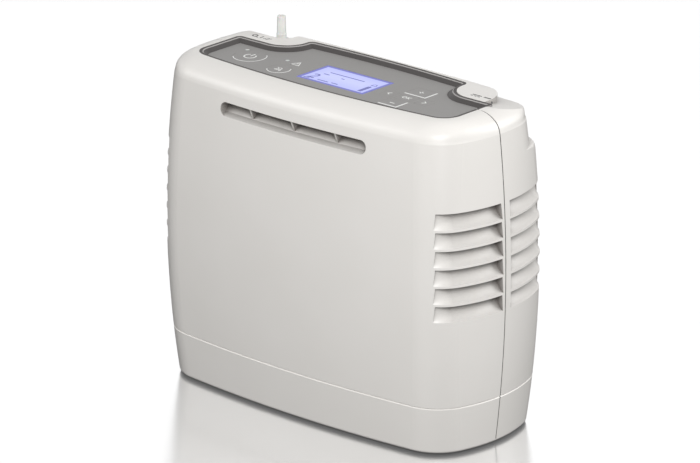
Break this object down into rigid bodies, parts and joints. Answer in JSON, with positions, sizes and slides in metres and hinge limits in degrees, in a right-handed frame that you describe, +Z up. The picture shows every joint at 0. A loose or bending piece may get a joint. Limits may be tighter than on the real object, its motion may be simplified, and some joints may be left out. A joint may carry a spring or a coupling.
{
  "type": "portable oxygen concentrator",
  "caption": "Battery portable oxygen concentrator: oval barrel-sided housing with louvred ends, recessed control panel, hose nozzle and pull-off battery base.",
  "frame": {"origin": "table plane under the middle of the housing's width and depth", "axes": "+X to the right and along the long faces as seen by a reader of the panel, +Y away from that reader to the rear, +Z up"},
  "size_m": [0.236, 0.1102, 0.206],
  "materials": {
    "housing_white": "satin",
    "latch_grey": "satin",
    "bezel_dark": "satin",
    "panel_grey": "matt",
    "key_grey": "matt",
    "window": "clear",
    "display": "gloss",
    "indicator": "satin",
    "nozzle_white": "gloss",
    "rubber": "matt",
    "black_plastic": "satin",
    "circuit_board": "satin",
    "steel": "satin",
    "chassis_grey": "matt",
    "cast_aluminium": "satin",
    "motor_steel": "satin",
    "canister": "satin",
    "sieve_beads": "matt",
    "manifold_plastic": "satin",
    "solenoid": "satin",
    "hose": "satin",
    "foam": "matt",
    "brass": "satin",
    "cell": "satin"
  },
  "bodies": {
    "unit": {"front_shell": "housing_white", "rear_shell": "housing_white", "panel_bezel": "bezel_dark", "control_overlay": "panel_grey", "display_window": "window", "display_module": "display", "indicator_lights": "indicator", "tact_switches": "black_plastic", "display_board": "circuit_board", "panel_screws": "steel", "oxygen_nozzle": "nozzle_white", "nozzle_seal": "rubber", "power_inlet": "black_plastic", "chassis": "chassis_grey", "chassis_screws": "steel", "case_screws": "steel", "main_board": "circuit_board", "buzzer": "black_plastic", "compressor_crankcase": "cast_aluminium", "compressor_mounts": "rubber", "compressor_motor": "motor_steel", "compressor_cylinders": "cast_aluminium", "compressor_heads": "cast_aluminium", "sieve_bed_left": "canister", "sieve_bed_right": "canister", "sieve_fill": "sieve_beads", "bed_base": "manifold_plastic", "bed_head": "manifold_plastic", "valve_block": "manifold_plastic", "solenoid_valves": "solenoid", "product_tank": "canister", "flow_sensor": "black_plastic", "outlet_hose": "hose", "feed_hose": "hose", "fan_frame": "black_plastic", "filter_foam": "foam", "housing_seal": "rubber", "unit_plug": "black_plastic", "plug_blades": "brass"},
    "battery_pack": {"pack_front_shell": "housing_white", "pack_rear_shell": "housing_white", "pack_lid": "chassis_grey", "lid_screws": "steel", "battery_cells": "cell", "cell_holder": "chassis_grey", "pack_board": "circuit_board", "pack_socket": "black_plastic", "rubber_feet": "rubber", "pack_seal": "rubber"},
    "pack_release": {"pack_latch": "latch_grey", "latch_spring": "steel"},
    "rear_door": {"filter_door": "housing_white"},
    "fan": {"fan_impeller": "black_plastic"},
    "power_key": {"power_key": "key_grey"},
    "silence_key": {"silence_key": "key_grey"},
    "plus_key": {"plus_key": "key_grey"},
    "minus_key": {"minus_key": "key_grey"},
    "ok_key": {"ok_key": "key_grey"},
    "left_key": {"left_key": "key_grey"},
    "right_key": {"right_key": "key_grey"}
  },
  "joints": [
    {"name": "battery_pack_slide", "type": "slide", "parent": "unit", "child": "battery_pack", "axis": [0, 0, -1], "range_m": [0, 0.045]},
    {"name": "pack_latch_slide", "type": "slide", "parent": "battery_pack", "child": "pack_release", "axis": [0, -1, 0], "range_m": [0, 0.0025], "stiffness_N_per_m": 800, "springref_m": -0.003},
    {"name": "filter_door_slide", "type": "slide", "parent": "unit", "child": "rear_door", "axis": [0, 1, 0], "range_m": [0, 0.012]},
    {"name": "fan_spin", "type": "hinge", "parent": "unit", "child": "fan", "pos_m": [0.0912, 0, 0.115], "axis": [1, 0, 0], "continuous": true},
    {"name": "power_key_press", "type": "slide", "parent": "unit", "child": "power_key", "axis": [0, 0, -1], "range_m": [0, 0.0006], "stiffness_N_per_m": 500, "springref_m": -0.001},
    {"name": "silence_key_press", "type": "slide", "parent": "unit", "child": "silence_key", "axis": [0, 0, -1], "range_m": [0, 0.0006], "stiffness_N_per_m": 500, "springref_m": -0.001},
    {"name": "plus_key_press", "type": "slide", "parent": "unit", "child": "plus_key", "axis": [0, 0, -1], "range_m": [0, 0.0006], "stiffness_N_per_m": 500, "springref_m": -0.001},
    {"name": "minus_key_press", "type": "slide", "parent": "unit", "child": "minus_key", "axis": [0, 0, -1], "range_m": [0, 0.0006], "stiffness_N_per_m": 500, "springref_m": -0.001},
    {"name": "ok_key_press", "type": "slide", "parent": "unit", "child": "ok_key", "axis": [0, 0, -1], "range_m": [0, 0.0006], "stiffness_N_per_m": 500, "springref_m": -0.001},
    {"name": "left_key_press", "type": "slide", "parent": "unit", "child": "left_key", "axis": [0, 0, -1], "range_m": [0, 0.0006], "stiffness_N_per_m": 500, "springref_m": -0.001},
    {"name": "right_key_press", "type": "slide", "parent": "unit", "child": "right_key", "axis": [0, 0, -1], "range_m": [0, 0.0006], "stiffness_N_per_m": 500, "springref_m": -0.001}
  ]
}
